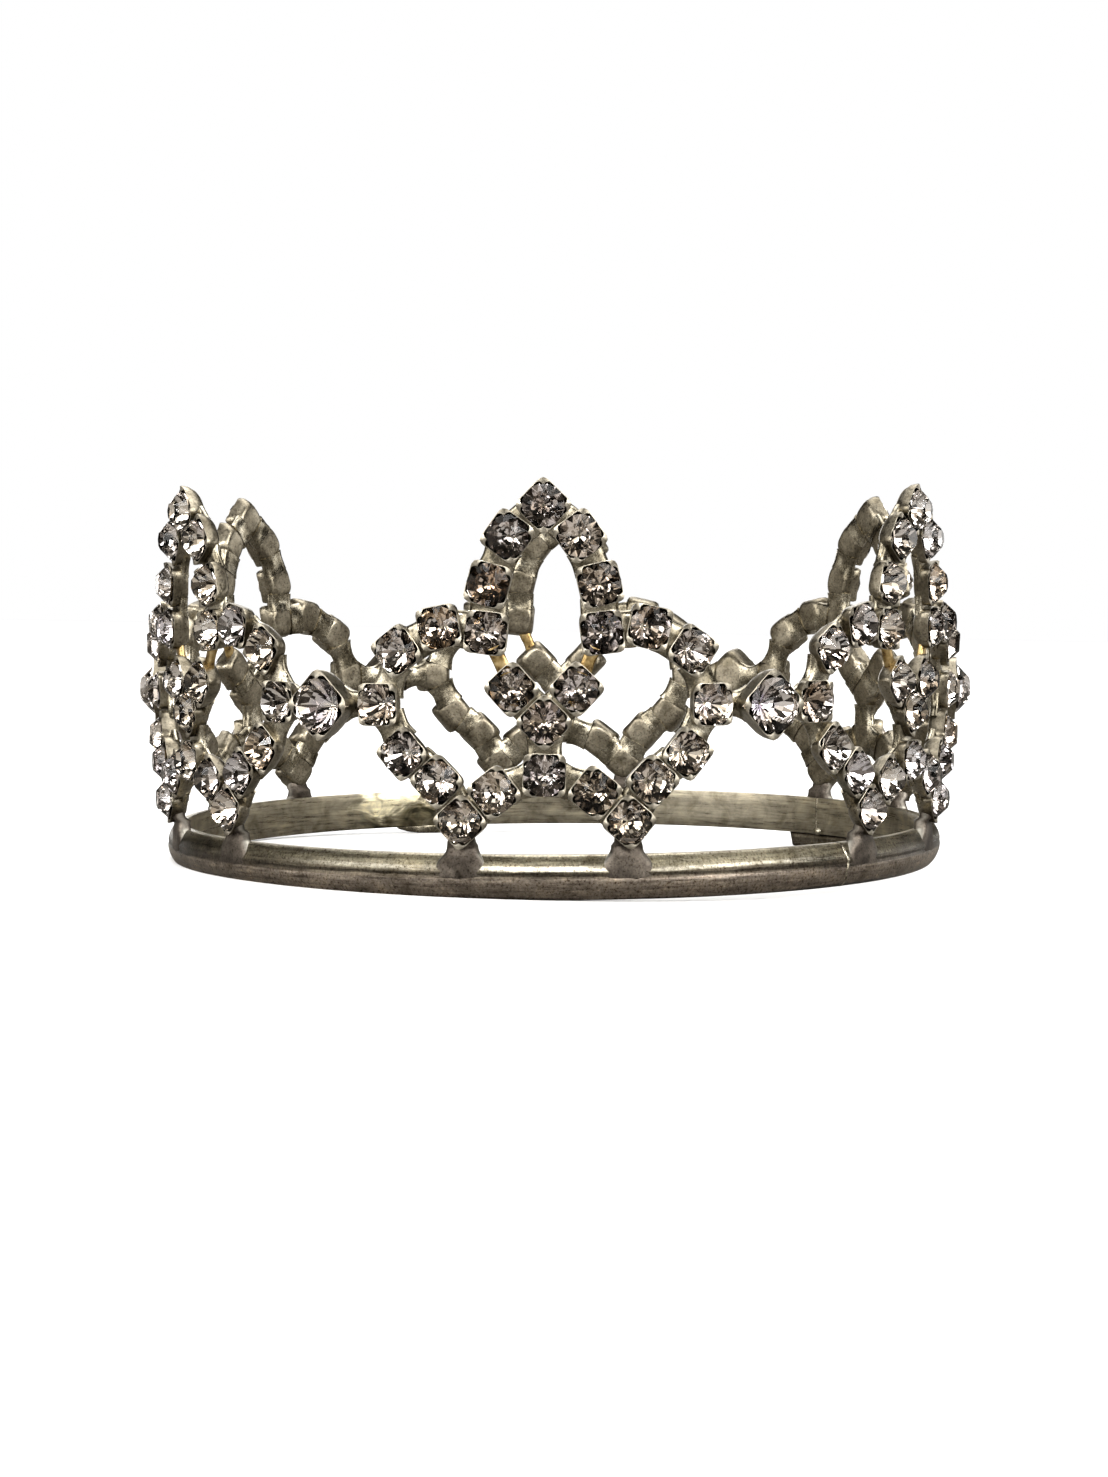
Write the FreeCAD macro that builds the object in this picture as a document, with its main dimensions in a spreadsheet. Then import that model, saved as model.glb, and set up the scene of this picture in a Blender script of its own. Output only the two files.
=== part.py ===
import FreeCAD, Part
import math
import os

import Sketcher

# Bridal tiara: a closed round crown of six identical rhinestone motifs on a half-round base band.
# Every stone sits in its own square four-prong cup. The cups are soldered side by side along the
# strands of the motif, each motif stands on the band on two solder feet, and one large stone links
# each motif to the next. Lengths are in millimetres. +Z is up, the front motif faces -Y, and the
# origin is on the crown's axis, in the plane of the band's lower edge.

VEC = FreeCAD.Vector
X_AXIS = VEC(1, 0, 0)
Z_AXIS = VEC(0, 0, 1)

DRIVING_SIZES = [
    ("motif_count", 6),
    # small stones and their cups
    ("stone_dia", 4.2),
    ("stone_table_dia", 2.4),
    ("stone_crown", 1.15),
    ("stone_girdle", 0.16),
    ("stone_pavilion", 1.65),
    ("cup_wall", 0.15),
    ("cup_floor", 0.27),
    ("cup_draft", 3.5),
    ("cup_corner", 0.55),
    ("prong_rise", 0.7),
    ("prong_gap", 0.06),
    ("seat_clear", 0.02),
    ("joint_gap", 0.15),
    # large stones that link the motifs
    ("link_stone_dia", 5.5),
    ("link_table_dia", 3.1),
    ("link_crown", 1.5),
    ("link_pavilion", 2.5),
    ("link_wall", 0.2),
    ("link_floor", 0.52),
    ("link_prong_rise", 0.9),
    ("link_corner", 0.7),
    ("link_gap", 0.42),
    ("link_row", 2.51),
    # base band, half-round outside and flat inside
    ("band_height", 4.65),
    ("band_thickness", 2.05),
    ("band_lip", 0.95),
    ("band_inset", 1.75),
    ("infill_start", 45.0),
    ("infill_sweep", 85.0),
    # how the motifs stand on the band
    ("foot_gap", 0.45),
    ("foot_top_dia", 2.5),
    ("foot_base_dia", 4.4),
    ("foot_reach", 2.7),
    ("lean", 0.92),
    # solder and wire between the cups
    ("solder_dia", 1.4),
    ("solder_back", 0.15),
    ("tie_dia", 0.7),
    # the plate and the solder repair under the band's back half
    ("plate_drop", 1.9),
    ("plate_width", 0.7),
    ("plate_inset", 0.48),
    ("plate_sweep", 17.0),
    ("plate_lap", 7.0),
    ("repair_length", 13.0),
    ("repair_drop", 1.0),
    ("repair_width", 1.5),
    ("repair_angle", 158.5),
]

# Places of the cups on one motif, in cup pitches: across from the motif's centre line, up from the
# row of its feet, and the cup's roll in degrees. A place off the centre line is used on both sides.
ARCH = {
    "tip": (0, 6.87, 45),
    "arch_upper": (0.795, 6.21, 37),
    "arch_middle": (1.235, 5.165, 15),
    "arch_lower": (1.285, 4.12, 7),
}
HEART = {
    "heart_lobe": (0.72, 2.90, 45),
    "heart_point": (0, 2.18, 45),
    "drop": (0, 1.03, 0),
}
SCROLL = {
    "shoulder_inner": (2.36, 4.237, -12),
    "shoulder_outer": (3.37, 3.72, -36),
    "side": (3.854, 2.538, 0),
    "loop_outer": (3.26, 1.473, 48),
    "loop_lower": (2.441, 0.877, 47),
    "foot": (1.908, 0, 48),
    "loop_inner": (1.125, 0.652, 52),
}
LAYOUT = {**ARCH, **HEART, **SCROLL}

# Strands of cups joined by solder, followed down each side of a motif, and the short wire ties.
STRANDS = [
    ("tip", "arch_upper", "arch_middle", "arch_lower", "shoulder_inner", "shoulder_outer", "side",
     "loop_outer", "loop_lower", "foot", "loop_inner", "drop"),
    ("heart_lobe", "heart_point"),
]
CENTRE_JOINT = ("heart_point", "drop")
WIRE_TIE = ("arch_lower", "heart_lobe")

MOTIF_PLACES = ["front", "front_right", "back_right", "back", "back_left", "front_left"]

doc = FreeCAD.newDocument("BridalTiara")


def make_sheet():
    sheet = doc.addObject("Spreadsheet::Sheet", "Sizes")
    for row, (alias, value) in enumerate(DRIVING_SIZES, 1):
        sheet.set(f"A{row}", alias)
        sheet.set(f"B{row}", str(value))
        sheet.setAlias(f"B{row}", alias)
    doc.recompute()
    return {alias: float(sheet.get(alias)) for alias, value in DRIVING_SIZES}


size = make_sheet()

# A rounded corner falls short of the square corner by this share of its radius.
CORNER_TRIM = math.sqrt(2) - 1

# Sizes that follow from the driving ones.
MOTIFS = int(size["motif_count"])
MOTIF_STEP = 360 / MOTIFS
CUP_SIDE = size["stone_dia"] + 2 * size["cup_wall"]
LINK_SIDE = size["link_stone_dia"] + 2 * size["link_wall"]
PITCH = CUP_SIDE + size["joint_gap"]
CUP_REACH = CUP_SIDE / math.sqrt(2) - CORNER_TRIM * size["cup_corner"]
LINK_REACH = LINK_SIDE / math.sqrt(2) - CORNER_TRIM * size["link_corner"]
FOOT_ROW = size["band_height"] + size["foot_gap"] + CUP_REACH
LINK_STEP = CUP_SIDE / 2 + size["link_gap"] + LINK_REACH
HALF_MOTIF = SCROLL["side"][0] * PITCH + LINK_STEP
FACE_RADIUS = HALF_MOTIF * MOTIFS / math.pi
BAND_OUTER = FACE_RADIUS - size["band_inset"]
BAND_INNER = BAND_OUTER - size["band_thickness"]
CUP_DEPTH = size["stone_girdle"] + size["stone_pavilion"] + size["seat_clear"] + size["cup_floor"]
LINK_DEPTH = size["stone_girdle"] + size["link_pavilion"] + size["seat_clear"] + size["link_floor"]
BACK_OFFSET = size["stone_crown"] + CUP_DEPTH


# ---------------------------------------------------------------- sketches and features

def origin_plane(body, role):
    return [feature for feature in body.Origin.OriginFeatures if feature.Role == role][0]


def polygon_sketch(body, name, role, corners):
    """Closed outline whose corners are pairs of expressions; "0" puts a corner on the axis."""
    sketch = body.newObject("Sketcher::SketchObject", name)
    sketch.AttachmentSupport = (origin_plane(body, role), [""])
    sketch.MapMode = "FlatFace"
    probe = [VEC(*(evaluate(body, term) for term in corner), 0) for corner in corners]
    count = len(corners)
    for index in range(count):
        sketch.addGeometry(Part.LineSegment(probe[index], probe[(index + 1) % count]), False)
    for index in range(count):
        sketch.addConstraint(Sketcher.Constraint("Coincident", index, 2, (index + 1) % count, 1))
    for index, corner in enumerate(corners):
        bind_point(sketch, index, 1, corner, probe[index])
    return sketch


def evaluate(owner, expression):
    """Value of a sheet expression, used to start a sketch close to its solved shape."""
    value = owner.evalExpression(expression)
    return float(getattr(value, "Value", value))


def bind_point(sketch, geometry, end, corner, start):
    for kind, axis, term, value in (("DistanceX", -2, corner[0], start.x),
                                    ("DistanceY", -1, corner[1], start.y)):
        if term == "0":
            sketch.addConstraint(Sketcher.Constraint("PointOnObject", geometry, end, axis))
            continue
        index = sketch.addConstraint(Sketcher.Constraint(kind, -1, 1, geometry, end, value))
        sketch.setExpression(f"Constraints[{index}]", term)


def revolve(body, kind, sketch, name, angle=360):
    feature = body.newObject(kind, name)
    feature.Profile = sketch
    feature.ReferenceAxis = (sketch, ["V_Axis"])
    feature.Angle = angle
    return feature


def make_cup(name, stone, wall, floor, rise, corner, pavilion):
    """Square cup, wider at the rim, with a conical seat and four corner prongs. Its rim is at z = 0,
    its mouth faces +Z, and every argument is the name of a driving size."""
    body = doc.addObject("PartDesign::Body", name)
    half = f"(Sizes.{stone} / 2 + Sizes.{wall})"
    square = [(f"{sx}{half}", f"{sy}{half}") for sx, sy in (("", ""), ("-", ""), ("-", "-"), ("", "-"))]
    outline = polygon_sketch(body, f"{name}_outline", "XY_Plane", square)
    wall_pad = body.newObject("PartDesign::Pad", f"{name}_walls")
    wall_pad.Profile = outline
    wall_pad.Reversed = True
    seat_depth = f"Sizes.{pavilion} + Sizes.stone_girdle + Sizes.seat_clear"
    wall_pad.setExpression("Length", f"{seat_depth} + Sizes.{floor}")
    wall_pad.setExpression("TaperAngle", "-Sizes.cup_draft")
    prong_pad = body.newObject("PartDesign::Pad", f"{name}_prongs")
    prong_pad.Profile = outline
    prong_pad.setExpression("Length", f"Sizes.{rise}")
    doc.recompute()
    corners = [f"Edge{number}" for number, edge in enumerate(prong_pad.Shape.Edges, 1)
               if abs(edge.Vertexes[0].Z - edge.Vertexes[-1].Z) > size["stone_girdle"]]
    rounding = body.newObject("PartDesign::Fillet", f"{name}_corners")
    rounding.Base = (prong_pad, corners)
    rounding.setExpression("Radius", f"Sizes.{corner}")
    seat_radius = f"(Sizes.{stone} / 2 + Sizes.seat_clear)"
    mouth_radius = f"(Sizes.{stone} / 2 + Sizes.{wall} + Sizes.prong_gap)"
    seat = polygon_sketch(body, f"{name}_seat_outline", "XZ_Plane", [
        ("0", f"-({seat_depth})"),
        (seat_radius, "-(Sizes.stone_girdle + Sizes.seat_clear)"),
        (seat_radius, "0"),
        (mouth_radius, "0"),
        (mouth_radius, f"2 * Sizes.{rise}"),
        ("0", f"2 * Sizes.{rise}"),
    ])
    groove = revolve(body, "PartDesign::Groove", seat, f"{name}_seat")
    doc.recompute()
    if groove.Shape.Volume > 0.9 * rounding.Shape.Volume:
        raise RuntimeError(f"{name}: the seat did not cut the cup")
    return body


def make_stone(name, stone, table, crown, pavilion):
    """Round stone with its girdle's top at z = 0 and its flat table facing +Z."""
    body = doc.addObject("PartDesign::Body", name)
    outline = polygon_sketch(body, f"{name}_outline", "XZ_Plane", [
        ("0", f"-(Sizes.{pavilion} + Sizes.stone_girdle)"),
        (f"Sizes.{stone} / 2", "-Sizes.stone_girdle"),
        (f"Sizes.{stone} / 2", "0"),
        (f"Sizes.{table} / 2", f"Sizes.{crown}"),
        ("0", f"Sizes.{crown}"),
    ])
    revolve(body, "PartDesign::Revolution", outline, f"{name}_turned")
    return body


# ---------------------------------------------------------------- places on the crown

def turned(angle):
    """Placement that turns a front piece about the crown's axis, towards +X for a positive angle."""
    return FreeCAD.Placement(VEC(), FreeCAD.Rotation(Z_AXIS, angle))


def cup_place(angle, height, roll, face_to_rim):
    """Placement of a cup or a stone whose table looks outwards, leaning with the motif."""
    radius = FACE_RADIUS + height * math.tan(math.radians(size["lean"])) - face_to_rim
    facing = FreeCAD.Rotation(X_AXIS, 90 + size["lean"]) * FreeCAD.Rotation(Z_AXIS, roll)
    return turned(angle) * FreeCAD.Placement(VEC(0, -radius, height), facing)


def motif_place(key, side):
    across, up, roll = LAYOUT[key]
    angle = math.degrees(across * PITCH / FACE_RADIUS)
    return cup_place(side * angle, FOOT_ROW + up * PITCH, side * roll, size["stone_crown"])


def link_place(angle):
    """The link cup's back is level with the backs of the small cups."""
    face_to_rim = BACK_OFFSET - LINK_DEPTH
    return cup_place(angle, FOOT_ROW + size["link_row"] * PITCH, 45, face_to_rim)


def sides_of(key):
    return (1,) if LAYOUT[key][0] == 0 else (-1, 1)


def copy_of(master, name, placement):
    link = doc.addObject("App::Link", name)
    link.LinkedObject = master
    link.Placement = placement
    return link


def compound(name, members, placement=FreeCAD.Placement()):
    group = doc.addObject("Part::Compound", name)
    group.Label = name
    group.Links = members
    group.Placement = placement
    return group


# ---------------------------------------------------------------- base band

def make_band(name, start, sweep):
    """Part of the base band: flat inside, bulging outside, from an angle about the crown's axis."""
    body = doc.addObject("PartDesign::Body", name)
    sketch = body.newObject("Sketcher::SketchObject", f"{name}_section")
    sketch.AttachmentSupport = (origin_plane(body, "XZ_Plane"), [""])
    sketch.MapMode = "FlatFace"
    top = size["band_height"]
    lip = BAND_INNER + size["band_lip"]
    corners = [VEC(lip, 0, 0), VEC(BAND_INNER, 0, 0), VEC(BAND_INNER, top, 0), VEC(lip, top, 0)]
    for first, second in zip(corners, corners[1:]):
        sketch.addGeometry(Part.LineSegment(first, second), False)
    arc = sketch.addGeometry(Part.Arc(corners[0], VEC(BAND_OUTER, top / 2, 0), corners[3]), False)
    sketch.addConstraint(Sketcher.Constraint("Coincident", 0, 2, 1, 1))
    sketch.addConstraint(Sketcher.Constraint("Coincident", 1, 2, 2, 1))
    sketch.addConstraint(Sketcher.Constraint("Coincident", 2, 2, arc, 2))
    sketch.addConstraint(Sketcher.Constraint("Coincident", 0, 1, arc, 1))
    sketch.addConstraint(Sketcher.Constraint("Horizontal", 0))
    sketch.addConstraint(Sketcher.Constraint("Vertical", 1))
    sketch.addConstraint(Sketcher.Constraint("Horizontal", 2))
    sketch.addConstraint(Sketcher.Constraint("Vertical", 0, 1, 2, 2))
    inner = f"{BAND_OUTER} - Sizes.band_thickness"
    bind_point(sketch, 0, 2, (inner, "0"), corners[1])
    height = sketch.addConstraint(Sketcher.Constraint("DistanceY", 1, 1, 1, 2, top))
    sketch.setExpression(f"Constraints[{height}]", "Sizes.band_height")
    width = sketch.addConstraint(Sketcher.Constraint("DistanceX", 2, 1, 2, 2, size["band_lip"]))
    sketch.setExpression(f"Constraints[{width}]", "Sizes.band_lip")
    rise = "(Sizes.band_thickness - Sizes.band_lip)"
    radius = f"({rise} * {rise} + Sizes.band_height * Sizes.band_height / 4) / (2 * {rise})"
    middle = BAND_OUTER - evaluate(body, radius)
    centre = sketch.addConstraint(Sketcher.Constraint("DistanceX", -1, 1, arc, 3, middle))
    sketch.setExpression(f"Constraints[{centre}]", f"{BAND_OUTER} - {radius}")
    revolve(body, "PartDesign::Revolution", sketch, f"{name}_turned", sweep)
    body.Placement = turned(start - 90)
    return body


def make_plate(name):
    """Curved plate under the band's back joint, hanging below the band's lower edge."""
    joint = size["infill_start"] + size["infill_sweep"] - 90
    start = joint - size["plate_sweep"] + size["plate_lap"]
    outer = doc.addObject("Part::Cylinder", f"{name}_outside")
    inner = doc.addObject("Part::Cylinder", f"{name}_inside")
    for cylinder, wall in ((outer, " + Sizes.plate_width"), (inner, "")):
        inside = f"{BAND_OUTER} - Sizes.band_thickness + Sizes.plate_inset"
        cylinder.setExpression("Radius", inside + wall)
        cylinder.setExpression("Height", "Sizes.plate_drop")
        cylinder.Placement = FreeCAD.Placement(VEC(0, 0, -size["plate_drop"]), FreeCAD.Rotation())
    outer.setExpression("Angle", "Sizes.plate_sweep")
    outer.Placement = turned(start) * outer.Placement
    return boolean("Part::Cut", name, outer, inner)


def make_repair(name, band):
    """Long low lump of solder under the band's lower edge at the back left."""
    lump = doc.addObject("Part::Ellipsoid", f"{name}_lump")
    lump.Angle1 = -90
    lump.Angle2 = 90
    lump.Angle3 = 360
    lump.setExpression("Radius1", "Sizes.repair_drop")
    lump.setExpression("Radius2", "Sizes.repair_length / 2")
    lump.setExpression("Radius3", "Sizes.repair_width / 2")
    middle = BAND_INNER + size["repair_width"] / 2
    lump.Placement = turned(-size["repair_angle"]) * FreeCAD.Placement(VEC(0, -middle, 0), FreeCAD.Rotation())
    return boolean("Part::Cut", name, lump, band)


def boolean(kind, name, base, tool):
    result = doc.addObject(kind, name)
    result.Label = name
    result.Base = base
    result.Tool = tool
    return result


# ---------------------------------------------------------------- solder, ties and feet

def joint_rod(name, start, end, insets, diameter):
    """Round rod between two points, stopping short of each by its inset."""
    along = end - start
    along.normalize()
    rod = doc.addObject("Part::Cylinder", name)
    rod.setExpression("Radius", f"Sizes.{diameter} / 2")
    rod.Height = (end - start).Length - sum(insets)
    rod.Placement = FreeCAD.Placement(start + along * insets[0], FreeCAD.Rotation(Z_AXIS, along))
    return rod


def seat_radius_at(depth, stone_dia, pavilion):
    """Radius of a cup's seat cone at a depth below its rim."""
    below_girdle = max(0, depth - size["stone_girdle"])
    return max(0, stone_dia / 2 * (1 - below_girdle / pavilion)) + size["cup_wall"]


def small_anchor(placement, diameter):
    """Point on a small cup's axis where a rod of the given diameter lies just in front of the cup's
    back, and how far from that axis the rod has to stop to stay out of the stone's seat."""
    depth = CUP_DEPTH - size["solder_back"] - diameter / 2
    reach = seat_radius_at(depth - diameter / 2, size["stone_dia"], size["stone_pavilion"])
    return placement.multVec(VEC(0, 0, -depth)), reach


def link_anchor(placement, diameter):
    depth = LINK_DEPTH - size["solder_back"] - diameter / 2
    reach = seat_radius_at(depth - diameter / 2, size["link_stone_dia"], size["link_pavilion"])
    return placement.multVec(VEC(0, 0, -depth)), reach


def joint_between(name, first, second, diameter):
    return joint_rod(name, first[0], second[0], (first[1], second[1]), diameter)


def make_solder_rods():
    rods = []
    width = size["solder_dia"]
    for side in (-1, 1):
        for strand in STRANDS:
            for start, end in zip(strand, strand[1:]):
                first = small_anchor(motif_place(start, side if LAYOUT[start][0] else 1), width)
                second = small_anchor(motif_place(end, side if LAYOUT[end][0] else 1), width)
                rods.append(joint_between("solder_rod", first, second, "solder_dia"))
        first = small_anchor(motif_place("side", side), width)
        second = link_anchor(link_place(side * MOTIF_STEP / 2), width)
        rods.append(joint_between("solder_rod", first, second, "solder_dia"))
    first, second = (small_anchor(motif_place(key, 1), width) for key in CENTRE_JOINT)
    rods.append(joint_between("solder_rod", first, second, "solder_dia"))
    return rods


def make_tie_rods():
    rods = []
    for side in (-1, 1):
        first, second = (small_anchor(motif_place(key, side), size["tie_dia"]) for key in WIRE_TIE)
        rods.append(joint_between("tie_rod", first, second, "tie_dia"))
    return rods


def make_foot_cones():
    """Solder columns that flare from the foot cups down over the band's face, up to the height of the
    stone's lowest point, and lean inwards from the band's wall to the middle of the cup."""
    angle = math.degrees(SCROLL["foot"][0] * PITCH / FACE_RADIUS)
    low = VEC(0, -BAND_INNER - size["foot_base_dia"] / 2, size["band_height"] - size["foot_reach"])
    below_stone = FOOT_ROW - CUP_SIDE / 2 - 2 * size["cup_wall"]
    high = VEC(0, -FACE_RADIUS + BACK_OFFSET - CUP_DEPTH / 2, below_stone)
    cones = []
    for side in (-1, 1):
        cone = doc.addObject("Part::Cone", "foot_cone")
        cone.setExpression("Radius1", "Sizes.foot_base_dia / 2")
        cone.setExpression("Radius2", "Sizes.foot_top_dia / 2")
        cone.Height = (high - low).Length
        upright = FreeCAD.Placement(low, FreeCAD.Rotation(Z_AXIS, high - low))
        cone.Placement = turned(side * angle) * upright
        cones.append(cone)
    return cones


def make_bore():
    """The open space inside the band, which the feet keep out of."""
    bore = doc.addObject("Part::Cylinder", "bore")
    bore.setExpression("Radius", f"{BAND_OUTER} - Sizes.band_thickness")
    bore.Height = FOOT_ROW
    return bore


# ---------------------------------------------------------------- the crown

small_cup = make_cup("small_cup", "stone_dia", "cup_wall", "cup_floor", "prong_rise", "cup_corner",
                     "stone_pavilion")
small_stone = make_stone("small_stone", "stone_dia", "stone_table_dia", "stone_crown", "stone_pavilion")
large_cup = make_cup("large_cup", "link_stone_dia", "link_wall", "link_floor", "link_prong_rise",
                     "link_corner", "link_pavilion")
large_stone = make_stone("large_stone", "link_stone_dia", "link_table_dia", "link_crown", "link_pavilion")

nodes = []

main_sweep = 360 - size["infill_sweep"]
band_main = make_band("band_main", size["infill_start"] + size["infill_sweep"], main_sweep)
band_infill = make_band("band_infill", size["infill_start"], size["infill_sweep"])
nodes += [band_main, band_infill, make_plate("joint_plate"), make_repair("repair_solder", band_main)]

groups = {}
for group, layout in (("arch", ARCH), ("heart", HEART), ("scroll", SCROLL)):
    places = [(f"{key}_{side}", motif_place(key, side)) for key in layout for side in sides_of(key)]
    groups[f"{group}_cups"] = [copy_of(small_cup, f"cup_{name}", place) for name, place in places]
    groups[f"{group}_stones"] = [copy_of(small_stone, f"stone_{name}", place) for name, place in places]

link_angles = [(step + 0.5) * MOTIF_STEP for step in range(MOTIFS)]
link_cups = [copy_of(large_cup, "cup_link", link_place(angle)) for angle in link_angles]
link_stones = [copy_of(large_stone, "stone_link", link_place(angle)) for angle in link_angles]

motif_cups = groups["arch_cups"] + groups["heart_cups"] + groups["scroll_cups"]
near_cups = compound("near_cups", motif_cups + [link_cups[0], link_cups[-1]])
solder = boolean("Part::Cut", "solder", compound("solder_rods", make_solder_rods()), near_cups)
ties = boolean("Part::Cut", "ties", compound("tie_rods", make_tie_rods()), near_cups)
above_band = boolean("Part::Cut", "above_band", compound("foot_cones", make_foot_cones()), band_main)
outside_bore = boolean("Part::Cut", "outside_bore", above_band, make_bore())
feet = boolean("Part::Cut", "feet", outside_bore, near_cups)
groups.update({"solder": [solder], "ties": [ties], "feet": [feet]})

for step in range(MOTIFS):
    place = MOTIF_PLACES[step] if MOTIFS == len(MOTIF_PLACES) else str(step)
    for group, members in groups.items():
        nodes.append(compound(f"{group}_{place}", members, turned(step * MOTIF_STEP)))
nodes.append(compound("link_cups", link_cups))
nodes.append(compound("link_stones", link_stones))

doc.recompute()
for item in doc.Objects:
    if "Invalid" in item.State or "Error" in item.State:
        raise RuntimeError(f"{item.Name} did not recompute: {item.State}")
os.makedirs("parts", exist_ok=True)
for node in nodes:
    shape = node.Shape
    if shape.isNull() or not shape.isValid() or not shape.Solids:
        raise RuntimeError(f"{node.Label} has no valid shape")
for node in nodes:
    node.Shape.exportStep(f"parts/{node.Label}.step")
print(f"{len(nodes)} nodes, face radius {FACE_RADIUS:.2f}, band outer radius {BAND_OUTER:.2f}")
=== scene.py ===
import math

import bmesh
import bpy
import numpy as np
from mathutils import Matrix, Vector, noise


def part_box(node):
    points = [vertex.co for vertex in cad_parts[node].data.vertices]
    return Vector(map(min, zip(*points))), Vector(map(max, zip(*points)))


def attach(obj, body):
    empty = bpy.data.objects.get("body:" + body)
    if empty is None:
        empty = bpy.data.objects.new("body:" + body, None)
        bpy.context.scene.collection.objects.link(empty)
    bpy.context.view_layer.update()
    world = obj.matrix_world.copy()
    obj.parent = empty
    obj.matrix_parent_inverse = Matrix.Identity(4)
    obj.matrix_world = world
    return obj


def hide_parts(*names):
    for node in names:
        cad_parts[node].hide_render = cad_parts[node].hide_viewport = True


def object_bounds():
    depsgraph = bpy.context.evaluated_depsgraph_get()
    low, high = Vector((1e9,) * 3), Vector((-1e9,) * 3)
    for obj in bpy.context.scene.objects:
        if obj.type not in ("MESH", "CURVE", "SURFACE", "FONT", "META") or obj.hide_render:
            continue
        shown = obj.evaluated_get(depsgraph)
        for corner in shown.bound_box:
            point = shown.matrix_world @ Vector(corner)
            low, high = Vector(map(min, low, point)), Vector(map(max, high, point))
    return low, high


# Looks of a round rhinestone crown: cups, faceted stones, solder and an aged silver base band,
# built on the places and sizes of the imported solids. Lengths are in metres; MM turns millimetres
# into metres.

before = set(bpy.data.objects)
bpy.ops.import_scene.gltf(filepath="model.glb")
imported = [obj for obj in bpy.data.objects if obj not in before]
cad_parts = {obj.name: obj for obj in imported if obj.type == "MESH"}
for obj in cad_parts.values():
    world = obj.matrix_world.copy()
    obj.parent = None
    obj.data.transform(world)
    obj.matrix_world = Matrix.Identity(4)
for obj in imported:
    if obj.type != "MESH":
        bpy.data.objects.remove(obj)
cad_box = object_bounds()

MM = 0.001
BODY = "root"
Z_UP = Vector((0, 0, 1))
SEED = 20
draw = np.random.default_rng(SEED)
noise.seed_set(SEED)    # without a seed, Blender starts its noise vectors from the clock


# ---------------------------------------------------------------- mesh helpers

def kept_inside(point):
    """The point, moved back onto the CAD model's box where uneven metal leaves it by under 0.05 mm."""
    return tuple(max(low, min(high, value)) for value, low, high in zip(point, *cad_box))


class Mesh:
    """Gathers rings, faces and per-point values, and becomes one Blender object."""

    def __init__(self):
        self.points = []
        self.faces = []
        self.slots = []
        self.wear = []
        self.shade = []

    def add(self, points, faces, slot=0, wear=None, shade=None):
        start = len(self.points)
        self.points.extend(points)
        self.wear.extend([0.0] * len(points) if wear is None else wear)
        for number, face in enumerate(faces):
            self.faces.append([start + index for index in face])
            self.slots.append(slot if isinstance(slot, int) else slot[number])
            self.shade.append(0.5 if shade is None else shade[number])

    def make(self, name, materials, sharp=None):
        data = bpy.data.meshes.new(name)
        data.from_pydata([kept_inside(point) for point in self.points], [], self.faces)
        for material in materials:
            data.materials.append(material)
        data.polygons.foreach_set("material_index", self.slots)
        data.polygons.foreach_set("use_smooth", [sharp is not None] * len(self.faces))
        # wear on the cups' prongs, and painted highlights on the feet's side edges
        wear = data.attributes.new("wear", "FLOAT", "POINT")
        wear.data.foreach_set("value", self.wear)
        shade = data.attributes.new("shade", "FLOAT", "FACE")
        shade.data.foreach_set("value", self.shade)
        data.update()
        if sharp is not None:
            data.set_sharp_from_angle(angle=math.radians(sharp))
        piece = bpy.data.objects.new(name, data)
        bpy.context.scene.collection.objects.link(piece)
        return piece


def loft_faces(rings, count):
    """Quads between rings of points, with one many-sided face at each end."""
    faces = []
    for ring in range(rings - 1):
        for index in range(count):
            after = (index + 1) % count
            low, high = ring * count, (ring + 1) * count
            faces.append([low + index, low + after, high + after, high + index])
    faces.append(list(range(count))[::-1])
    faces.append([(rings - 1) * count + index for index in range(count)])
    return faces


def place(piece, nodes):
    """Puts a piece on the body, in place of its CAD nodes."""
    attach(piece, BODY)
    if nodes:
        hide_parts(*nodes)


def wobble(point, scale, amount):
    """Small smooth unevenness of hand-made metal."""
    return noise.noise_vector(Vector(point) / scale) * amount


# ---------------------------------------------------------------- places read from the solids

SAME_POINT = 0.001 * MM
LEVEL = 0.01 * MM
AT_RIM = 0.98


def solids_of(name):
    """The points of each separate solid of a CAD node."""
    work = bmesh.new()
    work.from_mesh(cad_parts[name].data)
    bmesh.ops.remove_doubles(work, verts=work.verts, dist=SAME_POINT)
    seen = set()
    found = []
    for vert in work.verts:
        if vert in seen:
            continue
        seen.add(vert)
        queue = [vert]
        cloud = []
        while queue:
            here = queue.pop()
            cloud.append(tuple(here.co))
            for edge in here.link_edges:
                other = edge.other_vert(here)
                if other not in seen:
                    seen.add(other)
                    queue.append(other)
        found.append(np.array(cloud))
    work.free()
    return found


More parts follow.
